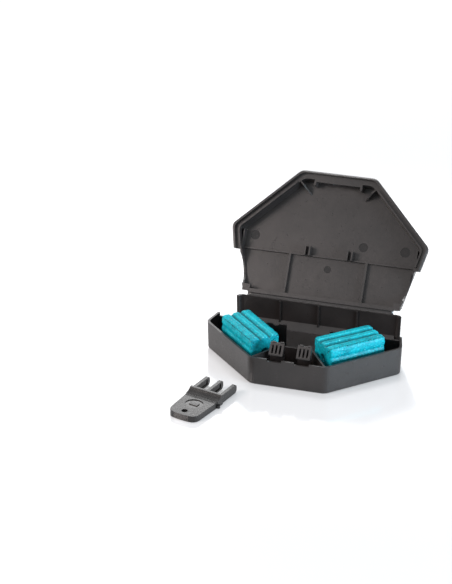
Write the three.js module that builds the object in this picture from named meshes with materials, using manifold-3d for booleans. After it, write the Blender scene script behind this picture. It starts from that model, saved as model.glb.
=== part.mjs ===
// A tamper-resistant mouse bait station: a six-sided tray with a hinged lid that stands open,
// two spring latch fingers behind the front wall, two wax bait blocks and a loose three-prong key.
// Millimetres, +Z up. The origin is the centre of the tray's underside, and -Y is the front.
import * as THREE from "three";
import { mergeVertices } from "three/addons/utils/BufferGeometryUtils.js";
import Module from "manifold-3d";

const wasm = await Module();
wasm.setup();

// The tray's outline, seen from above, is a hexagon that is widest at its two side corners.
const SIDE_HALF = 80.6;
const BACK_HALF = 68.6;
const FRONT_HALF = 30.6;
const BACK_Y = 51.8;
const SIDE_Y = -1.4;
const FRONT_Y = -51.8;
const CORNER_TRIM = 3.5;

const WALL = 1.8;
const FLOOR = 1.8;
const TRAY_HEIGHT = 24;
const BACK_HEIGHT = 25.6;
const TRAY_DRAFT = 0.008;
const FOOT_ROUND = 1.6;

// The mouse entries are in the side walls, between the wall's end and the back corner.
const SIDE_WALL_END = 17.2;
const ENTRY_BACK = 48.4;
const ENTRY_INNER = 66;
const SILL = 3.2;
const ARCH = { y: 33, bottom: 24, halfWidth: 13, rise: 9.4 };

const BAFFLE_Y = 15.4;
const BAFFLE_HALF_GAP = 18;
const BAFFLE_END = 75.4;
const BAFFLE_HEIGHT = 21.6;
const SCALLOP = { places: [27, 37, 47, 57], radius: 3.6, rise: 1.9 };
const INNER_WALL = 1.6;
const COVE = 5.5;
const COVE_HALF = 64;
const RIB_X = 32.5;
const WALL_RIB = { width: 1.4, depth: 1.4, drop: 0.6 };
const RAIL = { along: 13, reach: 9, thickness: 2, gap: 0.35 };

// How far one body is sunk into another where they are joined.
const ROOT = 0.5;
// Beyond every edge of the station, for cutting tools.
const FAR = 99;

// The lock compartment is a trapezium behind the front wall.
const LOCK_HALF = 13;
const LOCK_Y = -25;
const LOCK_WALL_DROP = 0.6;
const NOTCH_WIDTH = 12;
const NOTCH_DEPTH = 1.8;

// The lid, in its closed place.
const LID_TOP = 37;
const CEILING = 35;
const LIP_BOTTOM = 21;
const LIP_TOP = 26.6;
const LIP_OUT = 2.4;
const SEAT = 24.4;
const SKIRT_IN = 2.4;
const BACK_SKIRT_IN = 1.2;
const LID_WALL = 1.6;
const LID_DRAFT = 0.011;
const STEP_Y = 17.7;
const BACK_GAP = 0.4;
const STRIKE_HALF = 19.5;
const STRIKE_Y = -45.9;
const LID_RIB = 1.2;
const CROSS_RIB_Y = 14.6;
const CROSS_RIB_BOTTOM = 32.2;
const LONG_RIB = 1.8;
const LONG_RIB_BOTTOM = 31.8;
const TAB = { places: [16, 19.8], reach: 7.5, bottom: 28.4 };
const SIDE_RIB = { x: 73.2, bottom: 27.5 };
const GUSSET = { x: 33, y: -46.4, turn: 45.5, low: 5.5, high: 15 };
const LOCATING_RIB = { inset: 2.2, thickness: 1.2, bottom: 22.9 };
const KEYHOLE_FRAME = { half: 16.8, depth: 0.4, top: 35.6 };
// The round marks of the ejector pins, in the lid's ceiling.
const EJECTOR_DEPTH = 0.3;
const EJECTOR_MARKS = [
  { x: 0.2, y: 24.2, radius: 3 },
  { x: 27.1, y: 2.1, radius: 3.8 },
  { x: 62.3, y: 1.8, radius: 4.2 },
  { x: -65.2, y: 2.8, radius: 4 },
];
const LABEL = { half: 52, front: -20, back: 16, depth: 0.4 };

const HINGE_Y = 53.3;
const HINGE_Z = 26.5;
const HINGE_HALF = 61.5;
const HINGE_RADIUS = 0.7;
const BEAM = { gap: 1.1, height: 2.2 };
const LUG = { overlap: 1, reach: 5.2, front: 45.6, back: 51, height: 3.4 };
const OPEN_ANGLE = 124;

const FINGER_X = 11;
const FINGER_WIDTH = 11;
const FINGER_BACK = -39.4;
const FINGER_NOSE = -47;
const FINGER_TOP = 33.9;
const FINGER_FOOT = 5;
const FINGER_THICK = 2;
const NOSE_Z = 25.6;
const SLOT = { perWidth: 3.6, half: 0.75, low: 1.5, high: 1.3 };
const BUMP = { shares: [-0.25, 0.34], half: 1.3, rise: 0.8 };
const LATCH_FOOT = { side: 1, front: 4.5, back: 3, topFront: 2.6, topBack: 0.6, gap: 0.3 };

// The wave-shaped keyhole has five strokes, and the key's prongs pass through every other one.
const WAVE_PITCH = 6.1;
const WAVE_STROKE = 2.9;
const WAVE_BOTTOM = 26.9;
const WAVE_TOP = 34.3;

const BLOCK = { length: 49.6, side: 26, bottom: 8, hole: 3, round: 3.4, groove: 4.8 };
// How far each pair of grooves goes in: below, right, above and left of the section.
const GROOVE_DEPTHS = [2.6, 1, 2.6, 1];
const BLOCK_PLACES = {
  left: { x: -40.3, y: -15.2, turn: 134.3 },
  right: { x: 40.6, y: -12.9, turn: 43.9 },
};

const KEY = {
  x: -54.9,
  y: -85.2,
  turn: 75,
  length: 38.6,
  half: 14.2,
  endHalf: 12.4,
  plate: 5.2,
  collar: 8.4,
  round: 6,
  point: 1.2,
  prong: 21.8,
  prongThick: 2.7,
  prongBottom: 0.3,
  prongTop: 7.4,
  prongRound: 2.7,
};
const KEY_POCKET = { depth: 0.6, end: 3.4, half: 2.1 };
const KEY_STUD = { y: -7, radius: 1.6, length: 2.4, z: 1.2 };
const KEY_HOLE = { x: -0.3, y: -32.4, radius: 2.5 };
const EMBLEM = { y: -19, across: 7.4, along: 6.6, depth: 0.6, barHalf: 3.6, barWidth: 4 };

const SMOOTH = 16;

const radians = THREE.MathUtils.degToRad;

// ---- solids ----

function solid(geometry) {
  const bare = geometry.clone();
  bare.deleteAttribute("normal");
  bare.deleteAttribute("uv");
  const merged = mergeVertices(bare, 1e-4);
  return new wasm.Manifold(
    new wasm.Mesh({
      numProp: 3,
      vertProperties: new Float32Array(merged.attributes.position.array),
      triVerts: new Uint32Array(merged.index.array),
    }),
  );
}

function geometryOf(shape) {
  const mesh = shape.getMesh();
  const geometry = new THREE.BufferGeometry();
  geometry.setAttribute("position", new THREE.BufferAttribute(mesh.vertProperties, 3));
  geometry.setIndex(new THREE.BufferAttribute(mesh.triVerts, 1));
  return geometry;
}

function united(parts) {
  return parts.reduce((whole, part) => whole.add(part));
}

function box(x0, x1, y0, y1, z0, z1) {
  const geometry = new THREE.BoxGeometry(x1 - x0, y1 - y0, z1 - z0);
  return solid(geometry.translate((x0 + x1) / 2, (y0 + y1) / 2, (z0 + z1) / 2));
}

function extruded(shape, z0, z1, curveSegments = 4) {
  const options = { depth: z1 - z0, bevelEnabled: false, curveSegments };
  return new THREE.ExtrudeGeometry(shape, options).translate(0, 0, z0);
}

function prism(shape, z0, z1) {
  return solid(extruded(shape, z0, z1));
}

// A bar of that thickness between two points of the plan.
function wallBetween(a, b, thickness, z0, z1) {
  const length = Math.hypot(b[0] - a[0], b[1] - a[1]);
  const geometry = new THREE.BoxGeometry(length, thickness, z1 - z0);
  geometry.rotateZ(Math.atan2(b[1] - a[1], b[0] - a[0]));
  return solid(geometry.translate((a[0] + b[0]) / 2, (a[1] + b[1]) / 2, (z0 + z1) / 2));
}

// A (y, z) profile, extruded along X from x0 to x1.
function sideProfile(points, x0, x1) {
  const shape = new THREE.Shape(points.map(([y, z]) => new THREE.Vector2(y, z)));
  const geometry = extruded(shape, x0, x1);
  geometry.rotateY(Math.PI / 2).rotateX(Math.PI / 2);
  return solid(geometry);
}

// ---- the station's outline ----

const OUTLINE = [
  [-FRONT_HALF, FRONT_Y],
  [FRONT_HALF, FRONT_Y],
  [SIDE_HALF, SIDE_Y],
  [BACK_HALF, BACK_Y],
  [-BACK_HALF, BACK_Y],
  [-SIDE_HALF, SIDE_Y],
];
const BACK_EDGE = 3;

// The hexagon's corners, moved in by inset, and by backInset at the back edge.
function corners(inset, backInset = inset) {
  const edges = OUTLINE.map((a, i) => {
    const b = OUTLINE[(i + 1) % OUTLINE.length];
    const length = Math.hypot(b[0] - a[0], b[1] - a[1]);
    const along = [(b[0] - a[0]) / length, (b[1] - a[1]) / length];
    const depth = i === BACK_EDGE ? backInset : inset;
    return { x: a[0] - along[1] * depth, y: a[1] + along[0] * depth, along };
  });
  return edges.map((edge, i) => {
    const before = edges.at(i - 1);
    const cross = before.along[0] * edge.along[1] - before.along[1] * edge.along[0];
    const gapX = edge.x - before.x;
    const gapY = edge.y - before.y;
    const t = (gapX * edge.along[1] - gapY * edge.along[0]) / cross;
    return [before.x + before.along[0] * t, before.y + before.along[1] * t];
  });
}

function roundedShape(points, trim) {
  const shape = new THREE.Shape();
  points.forEach((point, i) => {
    const corner = new THREE.Vector2(...point);
    const before = new THREE.Vector2(...points.at(i - 1));
    const after = new THREE.Vector2(...points[(i + 1) % points.length]);
    const start = corner.clone().add(before.sub(corner).setLength(trim));
    const end = corner.clone().add(after.sub(corner).setLength(trim));
    if (i === 0) {
      shape.moveTo(start.x, start.y);
    } else {
      shape.lineTo(start.x, start.y);
    }
    shape.quadraticCurveTo(corner.x, corner.y, end.x, end.y);
  });
  shape.closePath();
  return shape;
}

function station(inset, z0, z1, backInset = inset, trim = CORNER_TRIM) {
  return prism(roundedShape(corners(inset, backInset), trim), z0, z1);
}

// Narrows a geometry towards one height, while its back face stays upright.
function drafted(geometry, share, wideZ, narrowZ) {
  const position = geometry.attributes.position;
  for (let i = 0; i < position.count; i += 1) {
    const depth = (position.getZ(i) - wideZ) / (narrowZ - wideZ);
    const scale = 1 - share * depth;
    position.setX(i, position.getX(i) * scale);
    position.setY(i, BACK_Y - (BACK_Y - position.getY(i)) * scale);
  }
  return geometry;
}

// ---- tray ----

function trayShell() {
  const options = {
    depth: BACK_HEIGHT,
    curveSegments: 4,
    bevelThickness: FOOT_ROUND,
    bevelSize: FOOT_ROUND,
    bevelOffset: -FOOT_ROUND,
    bevelSegments: 3,
  };
  const outline = roundedShape(corners(0), CORNER_TRIM);
  const outer = new THREE.ExtrudeGeometry(outline, options).translate(0, 0, FOOT_ROUND);
  const inner = extruded(roundedShape(corners(WALL), CORNER_TRIM), FLOOR, BACK_HEIGHT + 9);
  const shell = solid(drafted(outer, TRAY_DRAFT, TRAY_HEIGHT, 0)).subtract(
    solid(drafted(inner, TRAY_DRAFT, TRAY_HEIGHT, 0)),
  );
  const above = box(-FAR, FAR, -FAR, BACK_Y - WALL - 3, TRAY_HEIGHT, FAR);
  return shell.subtract(above).subtract(box(-FAR, FAR, -FAR, FAR, BACK_HEIGHT, FAR));
}

function entry(side) {
  const ends = [side * ENTRY_INNER, side * FAR].sort((a, b) => a - b);
  return box(...ends, SIDE_WALL_END, ENTRY_BACK, SILL, FAR);
}

// An inner wall between tunnel and bait chamber, with a scalloped top edge.
function baffle(side) {
  const end = side * BAFFLE_HALF_GAP;
  const outer = side * BAFFLE_END;
  const wall = wallBetween([end, BAFFLE_Y], [outer, BAFFLE_Y], INNER_WALL, FLOOR - ROOT, BAFFLE_HEIGHT);
  const scoops = SCALLOP.places.map((x) => {
    const scoop = new THREE.CylinderGeometry(SCALLOP.radius, SCALLOP.radius, 3 * INNER_WALL, SMOOTH);
    return solid(scoop.translate(side * x, BAFFLE_Y, BAFFLE_HEIGHT + SCALLOP.rise));
  });
  return scoops.reduce((left, scoop) => left.subtract(scoop), wall);
}

function lockWalls() {
  const front = FRONT_HALF - INNER_WALL;
  const bottom = FLOOR - ROOT;
  const top = TRAY_HEIGHT - LOCK_WALL_DROP;
  const rear = wallBetween([-LOCK_HALF, LOCK_Y], [LOCK_HALF, LOCK_Y], INNER_WALL, bottom, top);
  const sides = [-1, 1].map((side) =>
    wallBetween(
      [side * LOCK_HALF, LOCK_Y - 0.2],
      [side * front, FRONT_Y + WALL + 0.6],
      INNER_WALL,
      bottom,
      TRAY_HEIGHT - 0.2,
    ),
  );
  return [rear, ...sides];
}

// Two low rails in each chamber keep the bait off the floor.
function baitRails(place) {
  const turn = radians(place.turn);
  return [-RAIL.along, RAIL.along].map((along) => {
    const middle = [place.x + along * Math.cos(turn), place.y + along * Math.sin(turn)];
    const across = [-Math.sin(turn) * RAIL.reach, Math.cos(turn) * RAIL.reach];
    return wallBetween(
      [middle[0] - across[0], middle[1] - across[1]],
      [middle[0] + across[0], middle[1] + across[1]],
      RAIL.thickness,
      FLOOR - ROOT,
      BLOCK.bottom - RAIL.gap,
    );
  });
}

function backWallTrim() {
  const face = BACK_Y - WALL;
  const cove = sideProfile(
    [
      [face + ROOT, FLOOR - ROOT],
      [face + ROOT, FLOOR + COVE],
      [face, FLOOR + COVE],
      [face - COVE, FLOOR],
      [face - COVE, FLOOR - ROOT],
    ],
    -COVE_HALF,
    COVE_HALF,
  );
  const half = WALL_RIB.width / 2;
  const top = BACK_HEIGHT - WALL_RIB.drop;
  const ribs = [-RIB_X, 0, RIB_X].map((x) =>
    box(x - half, x + half, face - WALL_RIB.depth, face + ROOT, FLOOR, top),
  );
  return [cove, ...ribs];
}

function tray() {
  const notches = [-FINGER_X, FINGER_X].map((x) =>
    box(
      x - NOTCH_WIDTH / 2,
      x + NOTCH_WIDTH / 2,
      FRONT_Y - 3,
      FRONT_Y + WALL + 1,
      TRAY_HEIGHT - NOTCH_DEPTH,
      TRAY_HEIGHT + 1,
    ),
  );
  const places = Object.values(BLOCK_PLACES);
  let whole = united([
    trayShell().subtract(entry(-1)).subtract(entry(1)),
    baffle(-1),
    baffle(1),
    ...lockWalls(),
    ...places.flatMap(baitRails),
    ...backWallTrim(),
  ]);
  for (const notch of notches) {
    whole = whole.subtract(notch);
  }
  return geometryOf(whole);
}

// ---- lid ----

function lipBead() {
  const round = 1.3;
  const options = {
    depth: LIP_TOP - LIP_BOTTOM - 2 * round,
    curveSegments: 4,
    bevelThickness: round,
    bevelSize: round,
    bevelOffset: -round,
    bevelSegments: 2,
  };
  const outline = roundedShape(corners(-LIP_OUT), CORNER_TRIM);
  const bead = new THREE.ExtrudeGeometry(outline, options);
  return solid(bead.translate(0, 0, LIP_BOTTOM + round)).subtract(box(-FAR, FAR, STEP_Y, FAR, 0, FAR));
}

function lidShell() {
  const round = 0.8;
  const options = {
    depth: LID_TOP - LIP_BOTTOM,
    curveSegments: 4,
    bevelThickness: round,
    bevelSize: round,
    bevelOffset: -round,
    bevelSegments: 2,
  };
  const outline = roundedShape(corners(SKIRT_IN, BACK_SKIRT_IN), CORNER_TRIM);
  const outer = new THREE.ExtrudeGeometry(outline, options).translate(0, 0, LIP_BOTTOM - round);
  const below = box(-FAR, FAR, -FAR, FAR, 0, BACK_HEIGHT + BACK_GAP);
  const skirt = solid(drafted(outer, LID_DRAFT, LIP_TOP, LID_TOP));
  return lipBead().add(skirt.subtract(below)).add(skirt.subtract(box(-FAR, FAR, STEP_Y, FAR, 0, FAR)));
}

function lidHollow() {
  const inner = extruded(
    roundedShape(corners(SKIRT_IN + LID_WALL, BACK_SKIRT_IN + LID_WALL), CORNER_TRIM),
    0,
    CEILING,
  );
  return solid(drafted(inner, LID_DRAFT, LIP_TOP, LID_TOP)).add(station(-0.4, 0, SEAT));
}

// The lid's side wall arches up over each mouse entry.
function entryArches() {
  const arch = new THREE.Shape();
  arch.absellipse(ARCH.y, ARCH.bottom, ARCH.halfWidth, ARCH.rise, 0, Math.PI, false);
  const geometry = extruded(arch, -FAR, FAR, SMOOTH / 2).rotateY(Math.PI / 2).rotateX(Math.PI / 2);
  return solid(geometry);
}

function hingeBeam() {
  const bottom = BACK_HEIGHT + BACK_GAP;
  const front = BACK_Y - BACK_SKIRT_IN - LID_WALL;
  const beam = box(-HINGE_HALF, HINGE_HALF, front, HINGE_Y - BEAM.gap, bottom, bottom + BEAM.height);
  const lugs = [-1, 1].map((side) => {
    const ends = [side * (HINGE_HALF - LUG.overlap), side * (HINGE_HALF + LUG.reach)];
    return box(...ends.sort((a, b) => a - b), LUG.front, LUG.back, bottom, bottom + LUG.height);
  });
  return united([beam, ...lugs]);
}

// A thin rib inside the rim, which drops inside the tray's wall and centres the lid.
function locatingRib() {
  const { inset, thickness, bottom } = LOCATING_RIB;
  const band = station(inset, bottom, SEAT + ROOT).subtract(station(inset + thickness, 0, FAR));
  const cuts = [
    box(-FAR, FAR, STEP_Y - 3, FAR, 0, FAR),
    box(-FRONT_HALF - 4, FRONT_HALF + 4, -FAR, -44, 0, FAR),
  ];
  return cuts.reduce((left, cut) => left.subtract(cut), band);
}

function lidRibs() {
  const back = BACK_Y - BACK_SKIRT_IN - LID_WALL + ROOT;
  const half = LID_RIB / 2;
  const top = CEILING + ROOT;
  const cross = box(-75, 75, CROSS_RIB_Y - half, CROSS_RIB_Y + half, CROSS_RIB_BOTTOM, top);
  const long = [-RIB_X, RIB_X].map((x) =>
    box(x - LONG_RIB / 2, x + LONG_RIB / 2, CROSS_RIB_Y, back, LONG_RIB_BOTTOM, top),
  );
  const tabs = [-1, 1].flatMap((side) =>
    TAB.places.map((place) => {
      const x = side * place;
      return box(x - half, x + half, CROSS_RIB_Y - TAB.reach, CROSS_RIB_Y + half, TAB.bottom, top);
    }),
  );
  const sides = [-SIDE_RIB.x, SIDE_RIB.x].map((x) =>
    box(x - half, x + half, 0, CROSS_RIB_Y, SIDE_RIB.bottom, top),
  );
  return [cross, ...long, ...tabs, ...sides];
}

// A three-cornered stiffener across each front corner.
function gusset(side) {
  const profile = [
    [0, SEAT + ROOT],
    [GUSSET.low, SEAT + ROOT],
    [GUSSET.high, CEILING + ROOT],
    [0, CEILING + ROOT],
  ];
  const plate = sideProfile(profile, -LID_RIB / 2, LID_RIB / 2);
  return plate.rotate([0, 0, side * GUSSET.turn]).translate([side * GUSSET.x, GUSSET.y, 0]);
}

// The ledge that the latch fingers hook over, between two end ribs.
function strike() {
  const wall = FRONT_Y + SKIRT_IN + LID_WALL - 0.8;
  const ledge = box(-STRIKE_HALF, STRIKE_HALF, wall, STRIKE_Y, SEAT, NOSE_Z - 0.4);
  const ends = [-STRIKE_HALF, STRIKE_HALF].map((x) =>
    box(x - 0.8, x + 0.8, wall, STRIKE_Y + 2.7, SEAT, CEILING + ROOT),
  );
  return [ledge, ...ends];
}

function halfRing(x, z, upper) {
  const middle = WAVE_PITCH / 2;
  const start = upper ? 0 : Math.PI;
  const ring = new THREE.Shape();
  ring.absarc(x, z, middle + WAVE_STROKE / 2, start, start + Math.PI, false);
  ring.absarc(x, z, middle - WAVE_STROKE / 2, start + Math.PI, start, true);
  const geometry = extruded(ring, 0, 14).rotateX(Math.PI / 2);
  return solid(geometry.translate(0, FRONT_Y + 10, 0));
}

function keyhole() {
  const reach = (WAVE_PITCH + WAVE_STROKE) / 2;
  const low = WAVE_BOTTOM + reach;
  const high = WAVE_TOP - reach;
  const parts = [-2, -1, 0, 1, 2].map((i) => {
    const x = i * WAVE_PITCH;
    const bottom = i === 2 ? WAVE_BOTTOM : high;
    const top = i === -2 ? WAVE_TOP : low;
    const stroke = WAVE_STROKE / 2;
    return box(x - stroke, x + stroke, FRONT_Y - 4, FRONT_Y + 10, bottom, top);
  });
  const bends = [-1.5, -0.5, 0.5, 1.5].map((i) => {
    const upper = i === -0.5 || i === 1.5;
    return halfRing(i * WAVE_PITCH, upper ? high : low, upper);
  });
  return united([...parts, ...bends]);
}

function keyholeFrame() {
  const { half, depth, top } = KEYHOLE_FRAME;
  return box(-half, half, -FAR, FRONT_Y + SKIRT_IN + depth, LIP_TOP, top);
}

function ejectorMarks() {
  return united(
    EJECTOR_MARKS.map(({ x, y, radius }) => {
      const disc = new THREE.CylinderGeometry(radius, radius, 2 * EJECTOR_DEPTH, 2 * SMOOTH);
      return solid(disc.rotateX(Math.PI / 2).translate(x, y, CEILING));
    }),
  );
}

function lid() {
  const body = united([
    lidShell().subtract(lidHollow()).subtract(entryArches()),
    hingeBeam(),
    locatingRib(),
    ...lidRibs(),
    gusset(-1),
    gusset(1),
    ...strike(),
  ]);
  const label = box(-LABEL.half, LABEL.half, LABEL.front, LABEL.back, LID_TOP - LABEL.depth, FAR);
  const cuts = [keyholeFrame(), keyhole(), ejectorMarks(), label];
  return geometryOf(cuts.reduce((left, cut) => left.subtract(cut), body));
}

// ---- hinge strip and latch ----

function hingeStrip() {
  const geometry = new THREE.CylinderGeometry(HINGE_RADIUS, HINGE_RADIUS, 2 * HINGE_HALF - 1, 8);
  return geometry.rotateZ(Math.PI / 2).translate(0, HINGE_Y, HINGE_Z);
}

function latchFinger(side) {
  const half = FINGER_WIDTH / 2;
  const middle = side * FINGER_X;
  const arm = FINGER_BACK - FINGER_THICK;
  const whole = sideProfile(
    [
      [FINGER_BACK, FINGER_FOOT],
      [FINGER_BACK, FINGER_TOP],
      [arm + 0.4, FINGER_TOP],
      [FINGER_NOSE, NOSE_Z + 1],
      [FINGER_NOSE, NOSE_Z],
      [arm, NOSE_Z],
      [arm, FINGER_FOOT],
    ],
    middle - half,
    middle + half,
  );
  const pitch = FINGER_WIDTH / SLOT.perWidth;
  const slots = [-1, 0, 1].map((i) => {
    const x = middle + i * pitch;
    const bottom = NOSE_Z + SLOT.low;
    return box(x - SLOT.half, x + SLOT.half, FINGER_NOSE - 1, arm + 0.6, bottom, FINGER_TOP - SLOT.high);
  });
  const bumps = BUMP.shares.map((share) => {
    const x = middle + share * FINGER_WIDTH;
    const top = FINGER_TOP + BUMP.rise;
    return box(x - BUMP.half, x + BUMP.half, arm + 0.6, FINGER_BACK, FINGER_TOP - ROOT, top);
  });
  const cut = slots.reduce((left, slot) => left.subtract(slot), whole);
  return geometryOf(united([cut, ...bumps]));
}

// The foot that both fingers grow from, on the floor of the lock compartment.
function latchBase() {
  const { side, front, back, topFront, topBack, gap } = LATCH_FOOT;
  const half = FINGER_X + FINGER_WIDTH / 2 + side;
  const foot = sideProfile(
    [
      [FINGER_BACK - front, FLOOR + gap],
      [FINGER_BACK + back, FLOOR + gap],
      [FINGER_BACK + topBack, FINGER_FOOT - gap],
      [FINGER_BACK - topFront, FINGER_FOOT - gap],
    ],
    -half,
    half,
  );
  return geometryOf(foot);
}

// ---- bait ----

// The extruded section: a square with rounded corners and two grooves on each side.
function blockSection() {
  const half = BLOCK.side / 2;
  const round = BLOCK.round;
  const reach = BLOCK.groove / 2;
  const shape = new THREE.Shape();
  for (let side = 0; side < 4; side += 1) {
    const turn = (side * Math.PI) / 2;
    const at = (x, y) => {
      const point = new THREE.Vector2(x, y).rotateAround(new THREE.Vector2(), turn);
      return [point.x, point.y];
    };
    if (side === 0) {
      shape.moveTo(...at(-half + round, -half));
    }
    for (const middle of [-half / 3, half / 3]) {
      const deepest = at(middle, -half + 2 * GROOVE_DEPTHS[side]);
      shape.lineTo(...at(middle - reach, -half));
      shape.quadraticCurveTo(...deepest, ...at(middle + reach, -half));
    }
    shape.lineTo(...at(half - round, -half));
    shape.quadraticCurveTo(...at(half, -half), ...at(half, -half + round));
  }
  shape.closePath();
  const hole = new THREE.Path();
  hole.absarc(0, 0, BLOCK.hole, 0, 2 * Math.PI, true);
  shape.holes.push(hole);
  return shape;
}

function baitBlock() {
  const geometry = extruded(blockSection(), -BLOCK.length / 2, BLOCK.length / 2);
  geometry.rotateX(Math.PI / 2).rotateZ(Math.PI / 2);
  return geometryOf(solid(geometry));
}

// ---- key ----

function keyPlate() {
  const { length, half, endHalf, plate, collar, round, point } = KEY;
  const outline = roundedShape(
    [
      [-half, 0],
      [-endHalf, -length + point],
      [0, -length],
      [endHalf, -length + point],
      [half, 0],
    ],
    round,
  );
  const square = box(-half, half, -8, 0, -1, 12);
  const rounded = prism(outline, -1, 12).add(square);
  const profile = new THREE.Shape();
  profile.moveTo(-length - 1, 0);
  profile.lineTo(0, 0);
  profile.lineTo(0, collar);
  profile.lineTo(-2, collar);
  profile.quadraticCurveTo(-4.5, plate + 0.2, -11, plate);
  profile.lineTo(-length - 1, plate);
  profile.closePath();
  const body = extruded(profile, -half - 2, half + 2).rotateY(Math.PI / 2).rotateX(Math.PI / 2);
  const stud = new THREE.CylinderGeometry(KEY_STUD.radius, KEY_STUD.radius, KEY_STUD.length, SMOOTH);
  stud.rotateX(Math.PI / 2).translate(half, KEY_STUD.y, KEY_STUD.z);
  return rounded.intersect(solid(body)).add(solid(stud));
}

function keyProng(x) {
  const { prong, prongBottom, prongTop, prongThick, prongRound: round } = KEY;
  const profile = new THREE.Shape();
  profile.moveTo(-1, prongBottom);
  profile.lineTo(prong - round, prongBottom);
  profile.absarc(prong - round, prongBottom + round, round, -Math.PI / 2, 0, false);
  profile.absarc(prong - round, prongTop - round, round, 0, Math.PI / 2, false);
  profile.lineTo(-1, prongTop);
  profile.closePath();
  const face = x + prongThick / 2;
  const plate = extruded(profile, face - prongThick, face).rotateY(Math.PI / 2).rotateX(Math.PI / 2);
  const middle = (prongBottom + prongTop) / 2;
  const { depth, end, half } = KEY_POCKET;
  const pocket = box(face - depth, face + 1, 0, prong - end, middle - half, middle + half);
  return x > WAVE_PITCH ? solid(plate) : solid(plate).subtract(pocket);
}

// A plain oval, sunk into the handle, with a raised bar across it.
function emblem() {
  const oval = new THREE.Shape();
  const { y, across, along, depth, barHalf, barWidth } = EMBLEM;
  oval.absellipse(0, y, across, along, 0, 2 * Math.PI, false);
  const options = { depth: 2, bevelEnabled: false, curveSegments: 10 };
  const recess = new THREE.ExtrudeGeometry(oval, options).translate(0, 0, KEY.plate - depth);
  return solid(recess).subtract(box(-barHalf, barHalf, y - barWidth / 2, y + barWidth / 2, 0, FAR));
}

function key() {
  const hole = new THREE.CylinderGeometry(KEY_HOLE.radius, KEY_HOLE.radius, 20, SMOOTH);
  hole.rotateX(Math.PI / 2).translate(KEY_HOLE.x, KEY_HOLE.y, 0);
  const prongs = [-2, 0, 2].map((i) => keyProng(i * WAVE_PITCH));
  const whole = united([keyPlate(), ...prongs]);
  return geometryOf(whole.subtract(solid(hole)).subtract(emblem()));
}

// ---- the assembly ----

const plastic = () => new THREE.MeshStandardMaterial({ color: 0x3a3b3e, roughness: 0.45, metalness: 0 });
const wax = () => new THREE.MeshStandardMaterial({ color: 0x0aa5b8, roughness: 0.55, metalness: 0 });

function piece(name, geometry, material) {
  const mesh = new THREE.Mesh(geometry, material);
  mesh.name = name;
  return mesh;
}

const baitStation = new THREE.Group();
baitStation.add(piece("base_tray", tray(), plastic()));
baitStation.add(piece("hinge_strip", hingeStrip(), plastic()));
baitStation.add(piece("latch_base", latchBase(), plastic()));
baitStation.add(piece("latch_finger_left", latchFinger(-1), plastic()));
baitStation.add(piece("latch_finger_right", latchFinger(1), plastic()));

// The lid is made closed, and turned open about the hinge.
const hinge = new THREE.Group();
hinge.position.set(0, HINGE_Y, HINGE_Z);
hinge.rotation.x = -radians(OPEN_ANGLE);
const cover = piece("lid", lid(), plastic());
cover.position.set(0, -HINGE_Y, -HINGE_Z);
hinge.add(cover);
baitStation.add(hinge);

for (const [side, place] of Object.entries(BLOCK_PLACES)) {
  const block = piece(`bait_block_${side}`, baitBlock(), wax());
  block.position.set(place.x, place.y, BLOCK.bottom + BLOCK.side / 2);
  block.rotation.z = radians(place.turn);
  baitStation.add(block);
}

const looseKey = piece("key", key(), plastic());
looseKey.position.set(KEY.x, KEY.y, 0);
looseKey.rotation.z = radians(KEY.turn - 90);
baitStation.add(looseKey);

export default baitStation;
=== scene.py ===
"""An open mouse bait station on a pale glossy floor, with its loose key lying in front of it.

The moulded plastic pieces are the CAD nodes, with softened edges and a moulded-plastic material.
The wax bait blocks and the living hinge's web are modelled here, in place of their plain CAD
solids. Everything is in metres, in the CAD frame: +Z is up and -Y is the front.
"""

import math

import bmesh
import bpy
from mathutils import Matrix, Vector, noise


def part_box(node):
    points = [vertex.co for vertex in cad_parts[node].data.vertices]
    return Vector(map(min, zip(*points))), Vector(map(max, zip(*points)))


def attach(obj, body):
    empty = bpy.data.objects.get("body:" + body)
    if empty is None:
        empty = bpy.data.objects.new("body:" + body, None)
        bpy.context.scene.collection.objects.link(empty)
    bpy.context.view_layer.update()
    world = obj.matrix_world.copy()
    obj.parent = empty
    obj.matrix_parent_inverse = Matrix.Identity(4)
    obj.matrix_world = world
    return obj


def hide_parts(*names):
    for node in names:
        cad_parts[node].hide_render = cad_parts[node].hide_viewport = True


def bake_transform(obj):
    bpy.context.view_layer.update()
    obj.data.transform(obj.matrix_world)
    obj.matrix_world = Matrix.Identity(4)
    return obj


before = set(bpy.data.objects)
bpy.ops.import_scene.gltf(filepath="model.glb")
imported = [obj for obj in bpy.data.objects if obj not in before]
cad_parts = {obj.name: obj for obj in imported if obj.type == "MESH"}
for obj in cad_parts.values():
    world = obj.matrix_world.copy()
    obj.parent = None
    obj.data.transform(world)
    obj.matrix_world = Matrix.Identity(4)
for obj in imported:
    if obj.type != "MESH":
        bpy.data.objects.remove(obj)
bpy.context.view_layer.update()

MM = 0.001

# The camera of the reference view.
CAMERA_PLACE = Vector((0.3395, -1.4236, 0.7701))
CAMERA_AZIMUTH = math.radians(15.86)
CAMERA_PITCH = math.radians(25.9)
CAMERA_ROLL = math.radians(0.67)
CAMERA_LENS = 126.6

# How far the lid stands open.
LID_ANGLE = math.radians(124)
EDGE_RADIUS = 0.4 * MM
# Flats that meet at less than this are merged, and edges sharper than this are rounded.
FLAT_ANGLE = math.radians(0.6)
ROUNDED_ANGLE = math.radians(38)
SHARP_ANGLE = math.radians(32)

BLOCK_ROUND = 3.4 * MM
BLOCK_GROOVE = 4.8 * MM
# How far each pair of grooves goes in: below, right, above and left of the section.
BLOCK_GROOVE_DEPTHS = (2.0 * MM, 0.8 * MM, 2.0 * MM, 0.8 * MM)
BLOCK_HOLE = 3.0 * MM
BLOCK_TURNS = {"left": 134.3, "right": 43.9}
LUMP_SIZE = 0.55 * MM
LUMPS_PER_METRE = 170
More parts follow.
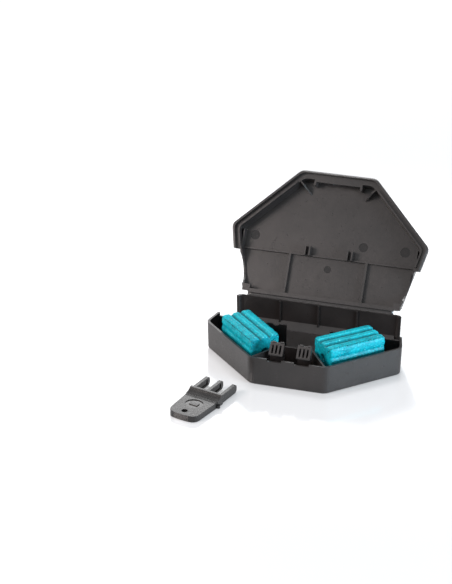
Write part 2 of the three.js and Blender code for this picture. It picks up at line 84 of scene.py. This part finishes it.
# How much of the side's rounding shows at a corner, and how steep a groove's sides are.
CORNER_SHARE = 0.42
GROOVE_POWER = 0.9
BLOCK_LENGTH = 49.2 * MM
BLOCK_SIDE = 25.6 * MM
BLOCK_END_ROUND = 2.2 * MM
BLOCK_END_WEAR = 0.05
# How finely the wax is divided: round the section, along it, over an end and down the hole.
BLOCK_STEPS = 44
BLOCK_RINGS = 70
END_RINGS = 14
TUBE_RINGS = 16

WEB_THICKNESS = 0.45 * MM
WEB_OVERHANG = 0.5 * MM
WEB_STEPS = 10
WEB_COLUMNS = 40
# Where the web starts below the tray's back edge, ends in the lid, and how far it bulges.
WEB_START = Vector((0, -1.5 * MM, -1.2 * MM))
WEB_END = Vector((0, 0.9 * MM, 1.6 * MM))
WEB_BULGE = Vector((0, 0.8 * MM, -0.3 * MM))

# Each plastic's darker and paler colour, and how rough it is.
SHELL_COLOURS = ((0.009, 0.0076, 0.0074), (0.0155, 0.013, 0.0124))
SHELL_ROUGHNESS = 0.34
HANDLE_COLOURS = ((0.006, 0.0052, 0.005), (0.011, 0.0095, 0.009))
HANDLE_ROUGHNESS = 0.24
POLISHED_COLOURS = ((0.007, 0.006, 0.0058), (0.012, 0.0105, 0.01))
POLISHED_ROUGHNESS = 0.15

FLOOR_HALF = 6
FLOOR_DROP = 0.1 * MM


# ---- node materials ----


class Material:
    """A principled material, with short calls for the nodes that drive it."""

    def __init__(self, name):
        self.data = bpy.data.materials.new(name)
        self.data.use_nodes = True
        self.tree = self.data.node_tree
        self.shader = self.tree.nodes["Principled BSDF"]
        self.place = self.node("ShaderNodeTexCoord").outputs["Object"]

    def node(self, kind, **settings):
        made = self.tree.nodes.new(kind)
        for name, value in settings.items():
            setattr(made, name, value)
        return made

    def link(self, source, target):
        self.tree.links.new(source, target)

    def set(self, **values):
        for name, value in values.items():
            self.shader.inputs[name.replace("_", " ")].default_value = value

    def noise(self, scale, detail=2.0, roughness=0.5, distortion=0.0):
        made = self.node("ShaderNodeTexNoise")
        made.inputs["Scale"].default_value = scale
        made.inputs["Detail"].default_value = detail
        made.inputs["Roughness"].default_value = roughness
        made.inputs["Distortion"].default_value = distortion
        self.link(self.place, made.inputs["Vector"])
        return made.outputs["Fac"]

    def cells(self, scale):
        made = self.node("ShaderNodeTexVoronoi")
        made.inputs["Scale"].default_value = scale
        self.link(self.place, made.inputs["Vector"])
        return made.outputs["Distance"]

    def spread(self, value, low, high, to_low=0.0, to_high=1.0):
        made = self.node("ShaderNodeMapRange")
        numbers = {"From Min": low, "From Max": high, "To Min": to_low, "To Max": to_high}
        for name, number in numbers.items():
            made.inputs[name].default_value = number
        self.link(value, made.inputs["Value"])
        return made.outputs["Result"]

    def mix(self, share, first, second):
        made = self.node("ShaderNodeMix", data_type="RGBA")
        self.link(share, made.inputs["Factor"])
        for socket, colour in ((made.inputs[6], first), (made.inputs[7], second)):
            if isinstance(colour, tuple):
                socket.default_value = (*colour, 1)
            else:
                self.link(colour, socket)
        return made.outputs[2]

    def maths(self, operation, first, second):
        made = self.node("ShaderNodeMath", operation=operation)
        for socket, value in zip(made.inputs, (first, second)):
            if isinstance(value, (int, float)):
                socket.default_value = value
            else:
                self.link(value, socket)
        return made.outputs["Value"]

    def bump(self, heights):
        """Chains bumps: each is (height socket, height in metres)."""
        normal = None
        for height, distance in heights:
            made = self.node("ShaderNodeBump")
            made.inputs["Distance"].default_value = distance
            self.link(height, made.inputs["Height"])
            if normal is not None:
                self.link(normal, made.inputs["Normal"])
            normal = made.outputs["Normal"]
        self.link(normal, self.shader.inputs["Normal"])


def moulded_plastic(name, colour, pale, roughness):
    """Satin polypropylene with a fine eroded texture, flow marks and a little dust."""
    material = Material(name)
    clouds = material.noise(38, detail=4, roughness=0.6)
    grain = material.noise(2400, detail=2)
    pits = material.noise(900, detail=3, roughness=0.6)
    scuffs = material.noise(160, detail=6, roughness=0.7, distortion=1.5)
    tone = material.mix(material.spread(clouds, 0.35, 0.68), colour, pale)
    dust = material.spread(scuffs, 0.62, 0.78, 0.0, 0.35)
    dusty = tuple(c * 1.5 + 0.006 for c in pale)
    material.link(material.mix(dust, tone, dusty), material.shader.inputs["Base Color"])
    gloss = material.maths("ADD", material.spread(pits, 0.3, 0.7, -0.05, 0.07), roughness)
    worn = material.maths("SUBTRACT", gloss, material.spread(scuffs, 0.55, 0.75, 0.0, 0.1))
    material.link(worn, material.shader.inputs["Roughness"])
    material.bump([(clouds, 0.15 * MM), (pits, 0.05 * MM), (grain, 0.02 * MM)])
    material.set(Specular_IOR_Level=0.5, IOR=1.5)
    return material.data


def bait_wax():
    """Dyed paraffin with crumbs of grain: cloudy, slightly translucent and rough where it is cut,
    with shade painted into its grooves, a highlight painted along their edges and painted glints.
    """
    material = Material("bait_wax")
    clouds = material.noise(110, detail=5, roughness=0.65)
    crumbs = material.cells(520)
    fine = material.noise(1300, detail=3, roughness=0.7)
    groove = material.node("ShaderNodeAttribute", attribute_name="groove").outputs["Fac"]
    deep = (0.0, 0.14, 0.18)
    base = (0.0, 0.27, 0.33)
    light = (0.0, 0.4, 0.46)
    shaded = (0.0, 0.04, 0.05)
    painted_ridge_highlight = (0.05, 0.46, 0.52)
    painted_glint = (0.4, 0.75, 0.76)
    tone = material.mix(material.spread(clouds, 0.3, 0.7), deep, base)
    tone = material.mix(material.spread(crumbs, 0.1, 0.55, 0.55, 0.0), tone, light)
    # painted shade: the wax is darker the deeper it lies in a groove
    tone = material.mix(material.spread(groove, 0.25, 1.0, 0.0, 0.8), tone, shaded)
    # painted highlight: the wax is paler along the edges of the grooves
    tone = material.mix(material.spread(groove, -0.2, -1.0, 0.0, 0.4), tone, painted_ridge_highlight)
    # painted glints: small pale spots scattered over the wax
    glint_cells = material.cells(330)
    tone = material.mix(material.spread(glint_cells, 0.06, 0.11, 0.7, 0.0), tone, painted_glint)
    material.link(tone, material.shader.inputs["Base Color"])
    material.link(material.spread(fine, 0.3, 0.7, 0.36, 0.62), material.shader.inputs["Roughness"])
    material.bump([(clouds, 0.3 * MM), (crumbs, 0.15 * MM), (fine, 0.08 * MM)])
    material.set(Subsurface_Weight=0.22, Subsurface_Radius=(0.4, 1.0, 1.1), Subsurface_Scale=1.6 * MM)
    material.set(Specular_IOR_Level=0.2, IOR=1.44)
    return material.data


def floor_material():
    """Pale glossy card that glows a little, and more so far away, so that it fades to white."""
    material = Material("pale_floor")
    clouds = material.noise(3, detail=2)
    tone = material.mix(clouds, (0.31, 0.315, 0.325), (0.33, 0.334, 0.34))
    material.link(tone, material.shader.inputs["Base Color"])
    material.set(Roughness=0.12, IOR=1.6, Emission_Color=(1, 1, 1, 1))
    away = material.node("ShaderNodeVectorMath", operation="LENGTH")
    material.link(material.place, away.inputs[0])
    glow = material.spread(away.outputs["Value"], 0.25, 1.2, 0.3, 0.6)
    material.link(glow, material.shader.inputs["Emission Strength"])
    return material.data


# ---- pieces that keep their CAD shape ----


def soften(node, material):
    """Gives a CAD node its material, and rounds its sharp edges with modifiers."""
    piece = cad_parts[node]
    piece.data.materials.clear()
    piece.data.materials.append(material)
    merge = piece.modifiers.new("merge_flats", "DECIMATE")
    merge.decimate_type = "DISSOLVE"
    merge.angle_limit = FLAT_ANGLE
    merge.delimit = {"NORMAL", "MATERIAL"}
    bevel = piece.modifiers.new("soft_edges", "BEVEL")
    bevel.width = EDGE_RADIUS
    bevel.segments = 2
    bevel.limit_method = "ANGLE"
    bevel.angle_limit = ROUNDED_ANGLE
    bevel.use_clamp_overlap = False
    bevel.harden_normals = True
    piece.data.shade_smooth()
    piece.data.set_sharp_from_angle(angle=SHARP_ANGLE)


def polish_recess(node, material, facing, shallow, deep):
    """Gives the floors of shallow recesses a shinier material.

    facing is the way that the recess looks out. Its floor is from shallow to deep below the
    widest flat that faces the same way.
    """
    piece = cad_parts[node]
    turn = piece.matrix_world
    flats = []
    for face in piece.data.polygons:
        normal = (turn.to_3x3() @ face.normal).normalized()
        if normal.dot(facing) > 0.999:
            flats.append((face, (turn @ face.center).dot(facing)))
    areas = {}
    for face, level in flats:
        step = round(level, 5)
        areas[step] = areas.get(step, 0) + face.area
    widest = max(areas, key=areas.get)
    piece.data.materials.append(material)
    for face, level in flats:
        if shallow < widest - level < deep:
            face.material_index = len(piece.data.materials) - 1


# ---- bait blocks ----


def block_section():
    """Points round a square with round corners and two grooves on each side.

    Each comes with how deep it lies in a groove, from 0 to 1, or below 0 on a groove's edge; the wax
    material turns these into painted shade in the grooves and a painted highlight along their edges.
    """
    half = BLOCK_SIDE / 2
    points = []
    for i in range(4 * BLOCK_STEPS):
        side, step = divmod(i, BLOCK_STEPS)
        along = (step / BLOCK_STEPS * 2 - 1) * half
        off = abs(abs(along) - half / 3) / (BLOCK_GROOVE / 2)
        groove = max(0.0, 1 - off) ** GROOVE_POWER
        over = max(0.0, abs(along) - (half - BLOCK_ROUND))
        corner = BLOCK_ROUND - math.sqrt(max(0.0, BLOCK_ROUND**2 - over**2))
        inward = BLOCK_GROOVE_DEPTHS[side] * groove + corner * CORNER_SHARE
        point = Vector((along, -half + inward, 0))
        point.rotate(Matrix.Rotation(side * math.pi / 2, 3, "Z"))
        # negative values mark the grooves' edges, where the wax material paints a highlight
        edge = -max(0.0, 1 - abs(off - 1.15) / 0.35)
        shade = groove if groove > 0.15 else edge
        points.append((point, shade * BLOCK_GROOVE_DEPTHS[side] / BLOCK_GROOVE_DEPTHS[0]))
    return points


def wax_lumps(point, seed):
    """How far a wax surface stands out of its smooth shape there."""
    place = point * LUMPS_PER_METRE + Vector((seed, 0, 0))
    broad = noise.noise(place) * 0.3
    fine = noise.noise(place * 4.3) * 0.3
    return (broad + fine) * LUMP_SIZE


def join_rings(mesh, rings):
    """Joins each ring of vertices to the next, with faces that look outward."""
    for a, b in zip(rings, rings[1:]):
        for i in range(len(a)):
            j = (i + 1) % len(a)
            mesh.faces.new((a[i], a[j], b[j], b[i]))


def block_rings(mesh, shade):
    """Rings from the hole's left rim, over the outside, to its right rim and back inside it."""
    section = block_section()
    half = BLOCK_LENGTH / 2

    def ring(x, narrowing, to_hole):
        made = []
        for point, depth in section:
            angle = math.atan2(point.y, point.x)
            hole = Vector((math.cos(angle), math.sin(angle), 0)) * BLOCK_HOLE
            place = (point * narrowing).lerp(hole, to_hole)
            vert = mesh.verts.new((x, place.x, place.y))
            # the groove value, which drives the wax's painted shade and highlight, fades out towards
            # the hole
            vert[shade] = depth * max(0.0, 1 - to_hole * 5)
            made.append(vert)
        return made

    worn = 1 - BLOCK_END_WEAR
    outside = []
    for i in range(BLOCK_RINGS + 1):
        edge = min(i, BLOCK_RINGS - i) / BLOCK_RINGS * BLOCK_LENGTH
        narrowing = 1 - BLOCK_END_WEAR * max(0.0, 1 - edge / BLOCK_END_ROUND) ** 2
        outside.append(ring(-half + BLOCK_LENGTH * i / BLOCK_RINGS, narrowing, 0))
    end_shares = [i / END_RINGS for i in range(1, END_RINGS + 1)]
    left_end = [ring(-half, worn, share) for share in reversed(end_shares)]
    right_end = [ring(half, worn, share) for share in end_shares]
    tube = [ring(half - BLOCK_LENGTH * i / TUBE_RINGS, 1, 1) for i in range(1, TUBE_RINGS)]
    return left_end + outside + right_end + tube + left_end[:1]


def bait_block(side, material, seed):
    """A lumpy extruded wax block, in place of the plain CAD one."""
    mesh = bmesh.new()
    shade = mesh.verts.layers.float.new("groove")
    join_rings(mesh, block_rings(mesh, shade))
    mesh.normal_update()
    for vert in mesh.verts:
        vert.co += vert.normal * wax_lumps(vert.co, seed)
    low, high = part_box(f"bait_block_{side}")
    middle = (low + high) / 2
    turn = Matrix.Rotation(math.radians(BLOCK_TURNS[side]), 4, "Z")
    mesh.transform(Matrix.Translation(middle) @ turn)
    data = bpy.data.meshes.new(f"wax_block_{side}")
    mesh.to_mesh(data)
    mesh.free()
    data.materials.append(material)
    data.shade_smooth()
    block = bpy.data.objects.new(f"wax_block_{side}", data)
    bpy.context.scene.collection.objects.link(block)
    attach(block, f"bait_block_{side}")
    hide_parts(f"bait_block_{side}")


# ---- living hinge ----


def hinge_web(material):
    """The thin flexible web along the back, a curved sheet from the tray's back edge into the lid."""
    low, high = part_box("hinge_strip")
    centre = (low + high) / 2
    half = (high.x - low.x) / 2 + WEB_OVERHANG
    start = Vector((0, centre.y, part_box("base_tray")[1].z)) + WEB_START
    end = Vector((0, centre.y, centre.z)) + WEB_END
    mesh = bmesh.new()
    rows = []
    for i in range(WEB_STEPS + 1):
        share = i / WEB_STEPS
        point = start.lerp(end, share) + WEB_BULGE * math.sin(math.pi * share)
        row = []
        for k in range(WEB_COLUMNS + 1):
            x = centre.x - half + 2 * half * k / WEB_COLUMNS
            row.append(mesh.verts.new((x, point.y, point.z)))
        rows.append(row)
    for a, b in zip(rows, rows[1:]):
        for k in range(WEB_COLUMNS):
            mesh.faces.new((a[k], a[k + 1], b[k + 1], b[k]))
    data = bpy.data.meshes.new("hinge_web")
    mesh.to_mesh(data)
    mesh.free()
    data.materials.append(material)
    data.shade_smooth()
    web = bpy.data.objects.new("hinge_web", data)
    bpy.context.scene.collection.objects.link(web)
    solid = web.modifiers.new("thickness", "SOLIDIFY")
    solid.thickness = WEB_THICKNESS
    solid.offset = 0
    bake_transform(web)
    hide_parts("hinge_strip")


# ---- stage ----


def floor():
    data = bpy.data.meshes.new("floor")
    mesh = bmesh.new()
    bmesh.ops.create_grid(mesh, x_segments=8, y_segments=8, size=FLOOR_HALF)
    mesh.to_mesh(data)
    mesh.free()
    data.materials.append(floor_material())
    made = bpy.data.objects.new("floor", data)
    made.location.z = -FLOOR_DROP
    bpy.context.scene.collection.objects.link(made)


def soft_light(name, place, target, size, power, colour=(1, 1, 1)):
    data = bpy.data.lights.new(name, "AREA")
    data.shape = "RECTANGLE"
    data.size, data.size_y = size
    data.energy = power
    data.color = colour
    lamp = bpy.data.objects.new(name, data)
    lamp.location = place
    direction = Vector(target) - Vector(place)
    lamp.rotation_euler = direction.to_track_quat("-Z", "Y").to_euler()
    bpy.context.scene.collection.objects.link(lamp)


def lights():
    """A bright plain room, with soft lamps over, behind and to both sides of the station."""
    world = bpy.data.worlds.new("studio")
    bpy.context.scene.world = world
    world.use_nodes = True
    background = world.node_tree.nodes["Background"]
    background.inputs["Color"].default_value = (0.97, 0.98, 1, 1)
    background.inputs["Strength"].default_value = 0.72
    soft_light("overhead", (-0.1, 0.25, 1.1), (0, 0, 0), (0.4, 0.3), 7)
    soft_light("back", (-0.2, 1.2, 0.6), (0, 0, 0), (0.9, 0.4), 4)
    soft_light("left_key", (-0.8, -0.7, 0.62), (-0.05, 0.05, 0.06), (0.5, 0.5), 15, (1, 0.88, 0.84))
    soft_light("left_side", (-1.1, 0.05, 0.3), (0, 0, 0.03), (0.5, 0.4), 4)
    soft_light("right_side", (1.0, -0.3, 0.17), (0, 0, 0.03), (0.5, 0.3), 24, (0.72, 0.88, 1))


def camera():
    """The reference view: from the front, to the right and above, and a little rolled."""
    forward = Vector(
        (
            -math.sin(CAMERA_AZIMUTH) * math.cos(CAMERA_PITCH),
            math.cos(CAMERA_AZIMUTH) * math.cos(CAMERA_PITCH),
            -math.sin(CAMERA_PITCH),
        )
    )
    right = Vector((math.cos(CAMERA_AZIMUTH), math.sin(CAMERA_AZIMUTH), 0))
    roll = Matrix.Rotation(-CAMERA_ROLL, 3, forward)
    right = roll @ right
    up = right.cross(forward)
    data = bpy.data.cameras.new("camera")
    data.lens = CAMERA_LENS
    data.clip_start, data.clip_end = 0.05, 30
    made = bpy.data.objects.new("camera", data)
    axes = Matrix((right, up, -forward)).transposed().to_4x4()
    made.matrix_world = Matrix.Translation(CAMERA_PLACE) @ axes
    bpy.context.scene.collection.objects.link(made)
    bpy.context.scene.camera = made


def main():
    bpy.context.scene.view_settings.view_transform = "Standard"
    camera()
    floor()
    lights()
    shell = moulded_plastic("station_plastic", *SHELL_COLOURS, SHELL_ROUGHNESS)
    handle = moulded_plastic("key_plastic", *HANDLE_COLOURS, HANDLE_ROUGHNESS)
    for node in ("base_tray", "lid", "latch_base", "latch_finger_left", "latch_finger_right"):
        soften(node, shell)
    soften("key", handle)
    polished = moulded_plastic("polished_plastic", *POLISHED_COLOURS, POLISHED_ROUGHNESS)
    ceiling = Matrix.Rotation(-LID_ANGLE, 3, "X") @ Vector((0, 0, -1))
    polish_recess("lid", polished, ceiling, 0.1 * MM, 1.0 * MM)
    polish_recess("key", polished, Vector((0, 0, 1)), 0.3 * MM, 1.0 * MM)
    wax = bait_wax()
    bait_block("left", wax, 3.1)
    bait_block("right", wax, 17.7)
    hinge_web(shell)


main()
